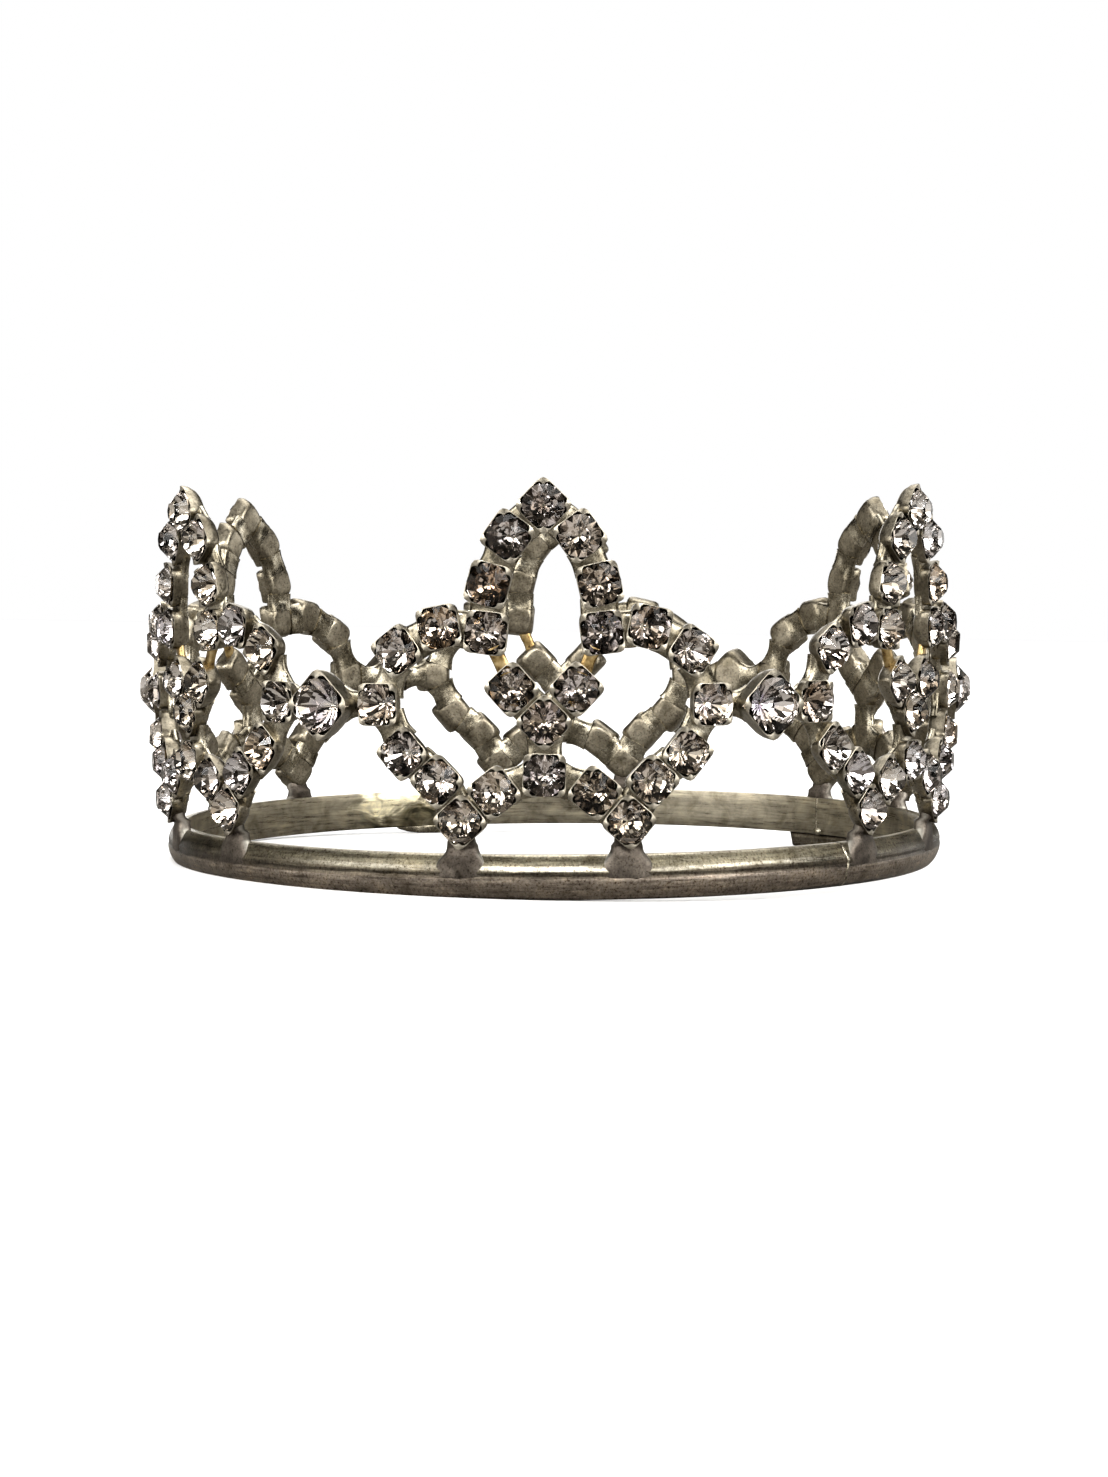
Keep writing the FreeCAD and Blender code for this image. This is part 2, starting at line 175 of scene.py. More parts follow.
class Seat:
    """Where one stone and its cup sit: the rim's centre, the axes and the cup's roll."""

    def __init__(self, cloud):
        middle = (cloud.max(0) + cloud.min(0)) / 2
        radial = np.array([middle[0], middle[1], 0.0])
        radial /= np.linalg.norm(radial)
        spread = cloud - cloud.mean(0)
        axes = np.linalg.svd(spread, full_matrices=False)[2]
        normal = axes[np.argmax(np.abs(axes @ radial))]
        normal = normal * np.sign(normal @ radial)
        along = spread @ normal
        away = np.linalg.norm(spread - np.outer(along, normal), axis=1)
        self.radius = away.max()
        girdle = along[away > AT_RIM * self.radius]
        rim = girdle.max()
        self.crown = along.max() - rim
        self.girdle = rim - girdle.min()
        self.pavilion = rim - along.min() - self.girdle
        self.table = away[along > along.max() - LEVEL].max()
        self.normal = Vector(normal)
        self.origin = Vector(cloud.mean(0)) + self.normal * rim
        self.up = (Z_UP - self.normal * self.normal.z).normalized()
        self.right = self.up.cross(self.normal)
        self.roll = 0.0
        self.depth = 0.0
        self.half = 0.0

    def fit_cup(self, cloud):
        """Takes the cup's roll, depth and half side from its solid."""
        local = cloud - np.array(self.origin)
        across, up = local @ np.array(self.right), local @ np.array(self.up)
        away = np.hypot(across, up)
        angle = np.arctan2(up, across)
        # the points furthest out are the four corners, so they say how the square is turned
        corners = (away ** 12 * np.exp(4j * angle)).sum()
        self.roll = np.angle(corners) / 4 - math.pi / 4
        self.depth = -(local @ np.array(self.normal)).min()
        flat = across * math.cos(self.roll) + up * math.sin(self.roll)
        self.half = np.abs(flat).max()

    def at(self, x, y, z):
        """A point given from the rim's centre: to the right, up and out of the cup."""
        return self.origin + self.right * x + self.up * y + self.normal * z


def seats_of(group):
    """One Seat for each stone of a group, matched with the nearest cup."""
    seats = [Seat(cloud) for cloud in solids_of(group.replace("cups", "stones"))]
    for cloud in solids_of(group):
        middle = Vector((cloud.max(0) + cloud.min(0)) / 2)
        nearest = min(seats, key=lambda seat: (seat.origin - middle).length)
        nearest.fit_cup(cloud)
    return seats


# The band's height, its inner, outer and lip radius, and the angles of its two butt joints.
low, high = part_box("band_main")
BAND_HIGH = high.z - low.z
main_cloud = solids_of("band_main")[0]
reach = np.hypot(main_cloud[:, 0], main_cloud[:, 1])
BAND_IN, BAND_OUT = reach.min(), reach.max()
BAND_LIP = reach[main_cloud[:, 2] > BAND_HIGH - LEVEL].max()
infill_cloud = solids_of("band_infill")[0]
infill_turn = np.arctan2(infill_cloud[:, 0], -infill_cloud[:, 1])
SEAMS = (infill_turn.min(), infill_turn.max())
# Across the back, where the repair's tarnish, spilt solder and painted highlights set in and where they
# fade out.
REPAIR_STARTS = (-29 * MM, -23.5 * MM)
REPAIR_ENDS = (-17 * MM, -12 * MM)
# From the foremost part of the band back to where the painted highlight on its ridge fades out.
PAINTED_HIGHLIGHT_FRONT = (-44.8 * MM, -43.6 * MM)


# ---------------------------------------------------------------- materials

def new_material(name):
    material = bpy.data.materials.new(name)
    material.use_nodes = True
    tree = material.node_tree
    return material, tree, tree.nodes["Principled BSDF"]


def node(tree, kind, **settings):
    """A new shader node with its inputs or its own settings filled in."""
    made = tree.nodes.new(kind)
    for key, value in settings.items():
        if key in made.inputs:
            made.inputs[key].default_value = value
        else:
            setattr(made, key, value)
    return made


def ramp(tree, source, stops):
    """Colours by the value of the source. stops are pairs of value and colour."""
    made = tree.nodes.new("ShaderNodeValToRGB")
    while len(made.color_ramp.elements) < len(stops):
        made.color_ramp.elements.new(0.5)
    for element, (place_at, colour) in zip(made.color_ramp.elements, stops):
        element.position = place_at
        element.color = (*colour, 1)
    tree.links.new(source, made.inputs["Fac"])
    return made.outputs["Color"]


def mix(tree, share, first, second, blend="MIX"):
    """Two colours mixed. Each of the three may be a number, a colour or another node's output."""
    made = tree.nodes.new("ShaderNodeMix")
    made.data_type = "RGBA"
    made.blend_type = blend
    for socket, value in ((made.inputs[0], share), (made.inputs[6], first), (made.inputs[7], second)):
        if isinstance(value, (int, float)):
            socket.default_value = value
        elif isinstance(value, tuple):
            socket.default_value = (*value, 1)
        else:
            tree.links.new(value, socket)
    return made.outputs[2]


def spread(tree, source, low, high, new_low, new_high):
    """The source's range moved and stretched to a new range, and held at its ends."""
    made = tree.nodes.new("ShaderNodeMapRange")
    for socket, value in zip(list(made.inputs)[1:5], (low, high, new_low, new_high)):
        socket.default_value = value
    tree.links.new(source, made.inputs[0])
    return made.outputs[0]


def object_place(tree):
    return tree.nodes.new("ShaderNodeTexCoord").outputs["Object"]


MEAN_RADIUS = 45 * MM


def around_place(tree, stretch):
    """Place along the band, up it and out from it, squeezed along the band so that marks run round."""
    split = tree.nodes.new("ShaderNodeSeparateXYZ")
    tree.links.new(object_place(tree), split.inputs[0])
    angle = node(tree, "ShaderNodeMath", operation="ARCTAN2")
    tree.links.new(split.outputs["Y"], angle.inputs[0])
    tree.links.new(split.outputs["X"], angle.inputs[1])
    along = node(tree, "ShaderNodeMath", operation="MULTIPLY")
    along.inputs[1].default_value = MEAN_RADIUS / stretch
    tree.links.new(angle.outputs[0], along.inputs[0])
    distance = node(tree, "ShaderNodeVectorMath", operation="LENGTH")
    tree.links.new(object_place(tree), distance.inputs[0])
    joined = tree.nodes.new("ShaderNodeCombineXYZ")
    tree.links.new(along.outputs[0], joined.inputs[0])
    tree.links.new(split.outputs["Z"], joined.inputs[1])
    tree.links.new(distance.outputs["Value"], joined.inputs[2])
    return joined.outputs[0]


def noise_of(tree, place_at, size_mm, detail=4, roughness=0.6, distortion=0.0):
    made = node(tree, "ShaderNodeTexNoise", Scale=1 / (size_mm * MM), Detail=detail,
                Roughness=roughness, Distortion=distortion)
    tree.links.new(place_at, made.inputs["Vector"])
    return made.outputs["Fac"]


def bump(tree, shader, height, distance_mm, strength=1.0):
    made = node(tree, "ShaderNodeBump", Strength=strength, Distance=distance_mm * MM)
    tree.links.new(height, made.inputs["Height"])
    tree.links.new(made.outputs["Normal"], shader.inputs["Normal"])


def aged_silver(name, dark, middle, light, roughness, worn=None):
    """Silver plate gone grey: blotches of tarnish, fine scratches and specks, bright where worn and where
    painted highlights are laid on.
    """
    material, tree, shader = new_material(name)
    spot = object_place(tree)
    blotch = noise_of(tree, spot, 2.6, detail=5, distortion=0.4)
    fine = noise_of(tree, spot, 0.35, detail=6, roughness=0.7)
    speck = noise_of(tree, spot, 0.22, detail=3)
    colour = ramp(tree, blotch, [(0.32, dark), (0.5, middle), (0.72, light)])
    colour = mix(tree, 0.55, colour, ramp(tree, fine, [(0.36, (0.55, 0.52, 0.48)), (0.5, (1, 1, 1)),
                                                     (0.66, (1.3, 1.28, 1.22))]), "MULTIPLY")
    pit = ramp(tree, speck, [(0.32, (0.3, 0.26, 0.2)), (0.44, (1, 1, 1)), (0.7, (1.35, 1.3, 1.25))])
    colour = mix(tree, 0.8, colour, pit, "MULTIPLY")
    if worn is not None:
        # worn colour: worn prong metal on the cups, painted edge highlight on the feet
        wear = node(tree, "ShaderNodeAttribute", attribute_name="wear").outputs["Fac"]
        colour = mix(tree, wear, colour, worn)
    tree.links.new(colour, shader.inputs["Base Color"])
    tree.links.new(spread(tree, fine, 0.3, 0.7, *roughness), shader.inputs["Roughness"])
    shader.inputs["Metallic"].default_value = 1.0
    bump(tree, shader, mix(tree, 0.5, fine, blotch), 0.05, 0.5)
    return material


def crystal(name, tint):
    """Clear lead crystal of the crown facets."""
    material, tree, shader = new_material(name)
    cloud = noise_of(tree, object_place(tree), 7.0, detail=1)
    colour = ramp(tree, cloud, [(0.35, tint), (0.5, (0.98, 0.98, 0.98)), (0.68, (0.9, 0.91, 1.0))])
    tree.links.new(colour, shader.inputs["Base Color"])
    shader.inputs["Transmission Weight"].default_value = 1.0
    shader.inputs["Roughness"].default_value = 0.02
    shader.inputs["IOR"].default_value = 1.3
    shader.inputs["Specular IOR Level"].default_value = 0.9
    return material


def foil(name):
    """Mirror foil behind the stone. Each facet is painted darker or brighter, as painted reflections of
    cut crystal.
    """
    material, tree, shader = new_material(name)
    shade = node(tree, "ShaderNodeAttribute", attribute_name="shade").outputs["Fac"]
    # painted reflections: each facet's own grey, from near black to bright
    painted_facet_grey = ramp(tree, shade, [(0.0, (0.012, 0.01, 0.008)), (0.28, (0.07, 0.058, 0.048)),
                              (0.48, (0.5, 0.45, 0.4)), (0.66, (1.0, 0.96, 0.93))])
    cloud = noise_of(tree, object_place(tree), 6.0, detail=2)
    tint = ramp(tree, cloud, [(0.3, (0.95, 0.8, 0.62)), (0.45, (1, 1, 1)), (0.6, (1, 1, 1)),
                              (0.72, (0.85, 0.84, 1.0))])
    tree.links.new(mix(tree, 1.0, painted_facet_grey, tint, "MULTIPLY"), shader.inputs["Base Color"])
    shader.inputs["Metallic"].default_value = 1.0
    shader.inputs["Roughness"].default_value = 0.03
    return material


def plain_brass(name):
    material, tree, shader = new_material(name)
    rub = noise_of(tree, object_place(tree), 0.8, detail=4)
    colour = ramp(tree, rub, [(0.35, (0.16, 0.10, 0.04)), (0.5, (0.42, 0.29, 0.12)),
                              (0.7, (0.6, 0.47, 0.25))])
    tree.links.new(colour, shader.inputs["Base Color"])
    tree.links.new(spread(tree, rub, 0.3, 0.7, 0.22, 0.45), shader.inputs["Roughness"])
    shader.inputs["Metallic"].default_value = 1.0
    bump(tree, shader, rub, 0.03, 0.5)
    return material


INSIDE_SILVER = (0.3, 0.272, 0.212)


def band_colours_and_painted_light(name):
    """Aged band, its tone set by height as painted reflections and shade: pale top edge, dark upper face,
    a painted highlight along the ridge, brightest at the front, a dark line under it, a lighter
    brown-grey lower face mottled with tarnish, a dark bottom edge; plain inside but for the repair."""
    material, tree, shader = new_material(name)
    spot = object_place(tree)
    run = around_place(tree, 16)
    place_split = tree.nodes.new("ShaderNodeSeparateXYZ")
    tree.links.new(spot, place_split.inputs[0])
    waver = spread(tree, noise_of(tree, run, 1.6, detail=4), 0.3, 0.7, -0.22 * MM, 0.22 * MM)
    level = node(tree, "ShaderNodeMath", operation="ADD")
    tree.links.new(place_split.outputs["Z"], level.inputs[0])
    tree.links.new(waver, level.inputs[1])
    share = spread(tree, level.outputs[0], 0, BAND_HIGH, 0, 1)
    flat = node(tree, "ShaderNodeVectorMath", operation="MULTIPLY")
    flat.inputs[1].default_value = (1, 1, 0)
    tree.links.new(spot, flat.inputs[0])
    reach = node(tree, "ShaderNodeVectorMath", operation="LENGTH")
    tree.links.new(flat.outputs[0], reach.inputs[0])
    outside = spread(tree, reach.outputs["Value"], BAND_IN + 0.2 * MM, BAND_IN + 0.6 * MM, 0, 1)
    # painted highlight on the ridge: patchy along the band, full and pale at the front
    highlight_patches = noise_of(tree, around_place(tree, 4), 5.0, detail=3)
    front = spread(tree, place_split.outputs["Y"], *PAINTED_HIGHLIGHT_FRONT, 1, 0)
    ridge = mix(tree, spread(tree, highlight_patches, 0.42, 0.62, 0, 1), (0.09, 0.08, 0.06), (0.24, 0.226, 0.186))
    ridge = mix(tree, front, ridge, (0.52, 0.5, 0.43))
    # painted reflections and shade by height: dark bottom edge, lighter lower face, dark line under the
    # ridge, dark upper face, pale top edge
    tone_with_painted_light = ramp(tree, share, [(0.0, (0.06, 0.052, 0.042)), (0.05, (0.27, 0.232, 0.198)),
                              (0.45, (0.33, 0.285, 0.245)), (0.51, (0.08, 0.068, 0.055)),
                              (0.64, (0.07, 0.061, 0.047)), (0.8, (0.11, 0.1, 0.073)),
                              (0.93, (0.16, 0.145, 0.105)), (0.97, (0.26, 0.24, 0.19))])
    # the narrow span of height that carries the painted ridge highlight
    ridge_highlight_span = ramp(tree, share, [(0.65, (0, 0, 0)), (0.69, (1, 1, 1)), (0.72, (1, 1, 1)),
                                  (0.76, (0, 0, 0))])
    tone_with_painted_light = mix(tree, ridge_highlight_span, tone_with_painted_light, ridge)
    near_repair = mix(tree, 1.0, spread(tree, place_split.outputs["X"], *REPAIR_STARTS, 0, 1),
                      spread(tree, place_split.outputs["X"], *REPAIR_ENDS, 1, 0), "MULTIPLY")
    at_back = spread(tree, place_split.outputs["Y"], 0, 10 * MM, 0, 1)
    near_repair = mix(tree, 1.0, near_repair, at_back, "MULTIPLY")
    # repair inside: dark tarnish, brass-toned spilt solder and bright painted highlights on it
    tarnish_and_painted_glints = ramp(tree, noise_of(tree, around_place(tree, 2), 2.6, detail=3, distortion=0.8),
                [(0.4, (0.025, 0.022, 0.014)), (0.48, (0.13, 0.114, 0.072)),
                 (0.56, (0.25, 0.224, 0.16)), (0.64, (0.8, 0.73, 0.52))])
    inside = mix(tree, near_repair, INSIDE_SILVER, tarnish_and_painted_glints)
    tone_with_painted_light = mix(tree, outside, inside, tone_with_painted_light)
    blotch = noise_of(tree, spot, 2.4, detail=5, distortion=0.5)
    fine = noise_of(tree, run, 0.3, detail=6, roughness=0.72)
    grain = noise_of(tree, spot, 0.26, detail=5, roughness=0.7)
    colour = mix(tree, 0.75, tone_with_painted_light, ramp(tree, blotch, [(0.32, (0.45, 0.42, 0.36)), (0.5, (1, 1, 1)),
                                                       (0.7, (1.5, 1.45, 1.35))]), "MULTIPLY")
    colour = mix(tree, 0.6, colour, ramp(tree, fine, [(0.34, (0.35, 0.32, 0.27)), (0.48, (1, 1, 1)),
                                                      (0.66, (1.6, 1.6, 1.5))]), "MULTIPLY")
    mottle = ramp(tree, grain, [(0.36, (0.22, 0.18, 0.14)), (0.45, (0.9, 0.88, 0.86)),
                                (0.55, (1, 1, 1)), (0.68, (1.7, 1.65, 1.6))])
    colour = mix(tree, outside, colour, mix(tree, 1.0, colour, mottle, "MULTIPLY"))
    tree.links.new(colour, shader.inputs["Base Color"])
    tree.links.new(spread(tree, fine, 0.3, 0.7, 0.22, 0.44), shader.inputs["Roughness"])
    shader.inputs["Metallic"].default_value = 1.0
    bump(tree, shader, mix(tree, 0.6, fine, grain), 0.06, 0.7)
    return material


band_silver = band_colours_and_painted_light("aged_silver_band")
# Feet: colours darkened as painted shade to match the band's painted lower face; the worn colour is their
# painted edge highlight.
foot_silver = aged_silver("aged_silver_foot", (0.03, 0.025, 0.02), (0.085, 0.073, 0.062),
                          (0.18, 0.158, 0.134), (0.42, 0.6), worn=(0.6, 0.58, 0.51))
cup_silver = aged_silver("aged_silver_cup", (0.11, 0.096, 0.068), (0.21, 0.188, 0.144),
                         (0.34, 0.31, 0.245), (0.24, 0.4), worn=(0.4, 0.37, 0.31))
solder_silver = aged_silver("solder_silver", (0.1, 0.088, 0.062), (0.23, 0.208, 0.16),
                            (0.55, 0.52, 0.43), (0.12, 0.34))
brass = plain_brass("worn_brass")
crown_glass = crystal("crystal_crown", (0.98, 0.93, 0.82))
stone_foil = foil("stone_foil")


# ---------------------------------------------------------------- stones and cups

FACETS = 8
TABLE_SHARE = 0.86      # of the solid's flat top
STAR_SHARE = 0.76       # radius of the points between table and rim, of the stone's radius
STAR_PROUD = 1.04       # of the straight line from table to rim
LOW_SHARE = 0.5         # radius of the points half way down the pavilion
LOW_PROUD = 1.05        # of the straight line from rim to tip
STONE_OVER_RIM = 1.035  # the stone's edge spreads a little over the cup's rim
STONE_TIPS = 1.6        # degrees


def ring_point(radius, angle, height):
    return (radius * math.cos(angle), radius * math.sin(angle), height)


def stone_shape(radius, table, crown, girdle, pavilion):
    """Points, faces and material slots of a brilliant cut: slot 0 is the crown, slot 1 the foil."""
    step = 2 * math.pi / FACETS
    half_step = step / 2
    table *= TABLE_SHARE
    star = STAR_SHARE * radius
    low = LOW_SHARE * radius
    star_height = crown * (radius - star) / (radius - table) * STAR_PROUD
    low_height = -girdle - pavilion * (1 - low / radius) * LOW_PROUD
    points = [ring_point(table, step * k, crown) for k in range(FACETS)]
    points += [ring_point(star, step * (k + 0.5), star_height) for k in range(FACETS)]
    points += [ring_point(radius, half_step * k, 0) for k in range(2 * FACETS)]
    points += [ring_point(radius, half_step * k, -girdle) for k in range(2 * FACETS)]
    points += [ring_point(low, half_step * (k + 0.5), low_height) for k in range(2 * FACETS)]
    points.append((0, 0, -girdle - pavilion))
    tables, stars, rim = 0, FACETS, 2 * FACETS
    under, lows, culet = 4 * FACETS, 6 * FACETS, 8 * FACETS
    faces, slots = [list(range(FACETS))], [0]
    for k in range(FACETS):
        after, before = (k + 1) % FACETS, (k - 1) % FACETS
        here, half = 2 * k, 2 * k + 1
        full = (2 * k + 2) % (2 * FACETS)
        faces += [[tables + k, stars + k, tables + after],
                  [tables + k, stars + before, rim + here, stars + k],
                  [stars + k, rim + here, rim + half],
                  [stars + k, rim + half, rim + full]]
        slots += [0] * 4
    for k in range(2 * FACETS):
        after = (k + 1) % (2 * FACETS)
        faces += [[rim + k, under + k, under + after, rim + after],
                  [under + k, lows + k, under + after],
                  [under + after, lows + k, lows + after],
                  [culet, lows + after, lows + k]]
        slots += [1] * 4
    return points, faces, slots


def add_stone(mesh, seat):
    """A cut stone, turned at random and tipped a little in its cup."""
    points, faces, slots = stone_shape(STONE_OVER_RIM * seat.radius, seat.table, seat.crown,
                                       seat.girdle, seat.pavilion)
    turn = Matrix.Rotation(draw.uniform(0, 2 * math.pi), 3, "Z")
    tip = Matrix.Rotation(math.radians(draw.normal(0, STONE_TIPS)), 3, "X")
    lean = Matrix.Rotation(math.radians(draw.normal(0, STONE_TIPS)), 3, "Y")
    turned = [lean @ tip @ turn @ Vector(point) for point in points]
    # random painted brightness for each facet, standing for its reflection
    shade = draw.uniform(0, 1, len(faces)) ** 0.8
    mesh.add([seat.at(*point) for point in turned], faces, slots, shade=list(shade))


CUP_POINTS = 48
CUP_TRIM = 0.985        # of the solid's half side, so that uneven sides stay within it
CUP_DRAFT = 0.055       # how far the sides draw in towards the back, of the half side
CUP_TURNS = 1.2         # degrees
SMALL_STONE_MM = 2.1    # radius of the stone that the prongs' sizes are given for
SQUARENESS = 7
PRONG_WIDTH = math.radians(8.5)


def square_radius(angle, squareness=SQUARENESS):
    """Radius of a square of half side 1 with rounded corners."""
    total = abs(math.cos(angle)) ** squareness + abs(math.sin(angle)) ** squareness
    return total ** (-1 / squareness)


def prong_share(angle):
    """1 on a corner of the cup, falling to 0 along its sides."""
    off = (angle % (math.pi / 2)) - math.pi / 4
    return math.exp(-(off / PRONG_WIDTH) ** 2)


def add_cup(mesh, seat):
    """A stamped square cup: rounded back, slightly hollow sides, thin rim and four folded prongs."""
    half, depth, stone = seat.half * CUP_TRIM, seat.depth, seat.radius
    unit = seat.radius / SMALL_STONE_MM
    draft = CUP_DRAFT * half
    corner = half * square_radius(math.pi / 4)
    fold = corner - stone + 0.24 * unit * MM
    # each ring: height and inset on the sides, then on the prongs, wear and squareness
    steps = [(-depth + 0.02 * MM, 0.75 * half, -depth + 0.02 * MM, 0.75 * half, 0.0, 2.4),
             (-depth, 0.42 * half, -depth, 0.42 * half, 0.0, 2.5),
             (-depth + 0.07 * MM, 0.28 * half, -depth + 0.07 * MM, 0.28 * half, 0.0, 2.6),
             (-depth + 0.24 * MM, 0.14 * half + draft, -depth + 0.24 * MM, 0.14 * half + draft,
              0.0, 2.8),
             (-depth + 0.52 * MM, 0.05 * half + draft, -depth + 0.52 * MM, 0.05 * half + draft,
              0.0, 3.3),
             (-depth + 0.9 * MM, 0.01 * half + draft, -depth + 0.9 * MM, draft, 0.0, 4.2),
             (-0.45 * depth, 0.6 * draft, -0.45 * depth, 0.6 * draft, 0.0, 6),
             (-0.3 * MM, 0.015 * half, -0.2 * MM, 0.01 * half, 0.0, SQUARENESS),
             (-0.22 * MM, 0.01 * half, 0.36 * unit * MM, 0.03 * half, 0.3, SQUARENESS),
             (-0.2 * MM, 0.025 * half, 0.62 * unit * MM, 0.13 * half, 0.5, SQUARENESS),
             (-0.19 * MM, 0.035 * half, 0.78 * unit * MM, 0.25 * half, 1.0, SQUARENESS),
             (-0.2 * MM, 0.045 * half, 0.70 * unit * MM, fold, 0.7, SQUARENESS),
             (-0.24 * MM, half - stone - 0.03 * MM, 0.44 * unit * MM, fold * 0.98, 0.2, SQUARENESS),
             (-0.4 * MM, half - stone - 0.01 * MM, -0.25 * MM, corner - stone - 0.01 * MM,
              0.0, SQUARENESS),
             (-0.8 * depth, 0.8 * half, -0.8 * depth, 0.8 * corner, 0.0, SQUARENESS)]
    bend = seat.roll + math.radians(draw.normal(0, CUP_TURNS))
    points, wear = [], []
    for z_side, inset_side, z_prong, inset_prong, worn, squareness in steps:
        for index in range(CUP_POINTS):
            angle = 2 * math.pi * index / CUP_POINTS
            share = prong_share(angle)
            inset = inset_side + share * (inset_prong - inset_side)
            radius = half * square_radius(angle, squareness) - inset
            height = z_side + share * (z_prong - z_side)
            spot = seat.at(radius * math.cos(angle + bend), radius * math.sin(angle + bend), height)
            points.append(spot + wobble(spot, 1.1 * MM, 0.035 * MM))
            wear.append(worn * share ** 2 if height > -0.1 * MM else worn)
    mesh.add(points, loft_faces(len(steps), CUP_POINTS), wear=wear)


# ---------------------------------------------------------------- solder between cups, ties and feet

def tube(mesh, centres, halves, sides, depths, count=20, power=2.0, bumpy=0.0, worn=None):
    """Loft of super-ellipses along a list of centres. halves are the half sizes along sides and depths,
    and the last argument says how strong a painted highlight each ring gets at its two side edges."""
    points, wear = [], []
    for ring, (centre, (wide, deep), side, out) in enumerate(zip(centres, halves, sides, depths)):
        for index in range(count):
            angle = 2 * math.pi * index / count
            c, s = math.cos(angle), math.sin(angle)
            reach = (abs(c) ** power + abs(s) ** power) ** (-1 / power)
            spot = centre + side * (wide * reach * c) + out * (deep * reach * s)
            points.append(spot + wobble(spot, 0.9 * MM, bumpy))
            wear.append(worn[ring] * abs(c) ** 14 if worn else 0.0)
    mesh.add(points, loft_faces(len(centres), count), wear=wear)


def nearest_two(spot, seats):
    """The two cups whose middles are nearest to a point."""
    def away(seat):
        return (seat.origin - seat.normal * seat.depth / 2 - spot).length
    return sorted(seats, key=away)[:2]


SOLDER_RINGS = 9
INTO_CUP = 0.62         # where a bridge starts, of the cup's half side from its middle
SOLDER_FLARE = 1.95 * MM
SOLDER_THICK = 0.62 * MM
SOLDER_GAP = 0.64 * MM
TIE_WAIST = 0.72 * MM
TIE_FLARE = 0.8 * MM
TIE_THICK = 0.42 * MM
TIE_GAP = 1.0 * MM


def joint_waist(first, second):
    """Half width of the solder between two cups. The further apart they stand, the narrower it is."""
    apart = (first.origin - second.origin).length - 2 * min(first.half, second.half)
    return max(1.35 * MM, min(SOLDER_FLARE, 2.1 * MM - 0.4 * apart))


def add_joint(mesh, first, second, waist, flare, thickness, back_gap):
    """A waisted bridge between two cups. back_gap is how far its middle is from their backs."""
    ends = [seat.origin - seat.normal * (seat.depth - back_gap) for seat in (first, second)]
    along = ends[1] - ends[0]
    gap = along.length
    along.normalize()
    inset = [seat.half * INTO_CUP for seat in (first, second)]
    centres, halves, sides, depths = [], [], [], []
    for index in range(SOLDER_RINGS):
        share = index / (SOLDER_RINGS - 1)
        spot = ends[0] + along * (inset[0] + share * (gap - sum(inset)))
        out = (first.normal * (1 - share) + second.normal * share).normalized()
        open_out = abs(2 * share - 1) ** 1.8
        centres.append(spot)
        halves.append((waist + (flare - waist) * open_out, thickness * (1 + 0.15 * open_out)))
        sides.append(out.cross(along).normalized())
        depths.append(out)
    tube(mesh, centres, halves, sides, depths, count=24, power=2.7, bumpy=0.07 * MM)


def band_radius(height):
    """Outer radius of the half-round band at a height."""
    rise = BAND_OUT - BAND_LIP
    arc = (rise ** 2 + BAND_HIGH ** 2 / 4) / (2 * rise)
    off = min(abs(height - BAND_HIGH / 2), BAND_HIGH / 2)
    return BAND_OUT - arc + math.sqrt(arc ** 2 - off ** 2)


def polar(radius, angle, height):
    return Vector((radius * math.sin(angle), -radius * math.cos(angle), height))


# A foot from its neck down: height from the band's top edge and half width, both in mm.
FOOT_FLARE = [(0.9, 1.62), (0.55, 1.66), (0.25, 1.76), (0.0, 1.92), (-0.3, 2.16), (-0.65, 2.42),
              (-1.05, 2.66), (-1.5, 2.86), (-2.1, 2.95), (-2.7, 2.8), (-3.2, 2.3), (-3.6, 1.4)]
FOOT_LOW = 3.6          # mm below the band's top edge where a foot ends
FOOT_SINKS = 2.3        # mm below the band's top edge where its front follows the band


def add_foot(mesh, seat):
    """A solder column under the foot cup that flows out over the band's ridge and into its face."""
    angle = math.atan2(seat.origin.x, -seat.origin.y)
    side = Vector((math.cos(angle), math.sin(angle), 0))
    out = polar(1, angle, 0)
    cup_low = seat.origin.z - seat.half * 1.28
    cup_mid = math.hypot(seat.origin.x, seat.origin.y) - 0.5 * seat.depth
    bulge = BAND_OUT - 0.02 * MM
    # each ring: height, half width in mm, front and back radius
    steps = [(cup_low + 1.5 * MM, 1.3, cup_mid + 0.6 * MM, cup_mid - 0.8 * MM),
             (cup_low + 0.8 * MM, 1.45, cup_mid + 0.7 * MM, cup_mid - 0.95 * MM)]
    # painted highlight on each foot's two side edges, strongest where it flares over the band's ridge
    worn = [0.15, 0.15]
    for drop, width in FOOT_FLARE:
        height = BAND_HIGH + drop * MM
        depth = min(1, max(0, -drop) / FOOT_LOW)
        flush = band_radius(height) + 0.06 * MM * (1 - 3 * depth ** 2)
        front = max(flush, bulge - 0.15 * MM * max(0, drop)) if drop > -FOOT_SINKS else flush
        steps.append((height, width, front, BAND_IN + (0.25 + 0.6 * depth) * MM))
        worn.append(0.9 if 0.1 > drop > -1.3 else 0.15)
    skew = draw.uniform(-0.15, 0.15)
    centres = [polar((front + back) / 2, angle, z) + side * skew * (width - 1.15) * MM
               for z, width, front, back in steps]
    halves = [(width * MM, (front - back) / 2) for z, width, front, back in steps]
    tube(mesh, centres, halves, [side] * len(steps), [out] * len(steps), count=40, power=2.9,
         bumpy=0.06 * MM, worn=worn)


# ---------------------------------------------------------------- base band and its joints

EDGE = 0.12 * MM
BULGE_POINTS = 30
BAND_STEP = math.radians(0.5)
GROOVE_AT = 0.54
GROOVE_WIDE = 0.045
GROOVE_DEEP = 0.09 * MM
SEAM_HALF = 0.22 * MM


def groove(share):
    """Depth of the shallow groove that sets the ridge off from the lower face, by share of height."""
    return GROOVE_DEEP * math.exp(-((share - GROOVE_AT) / GROOVE_WIDE) ** 2)


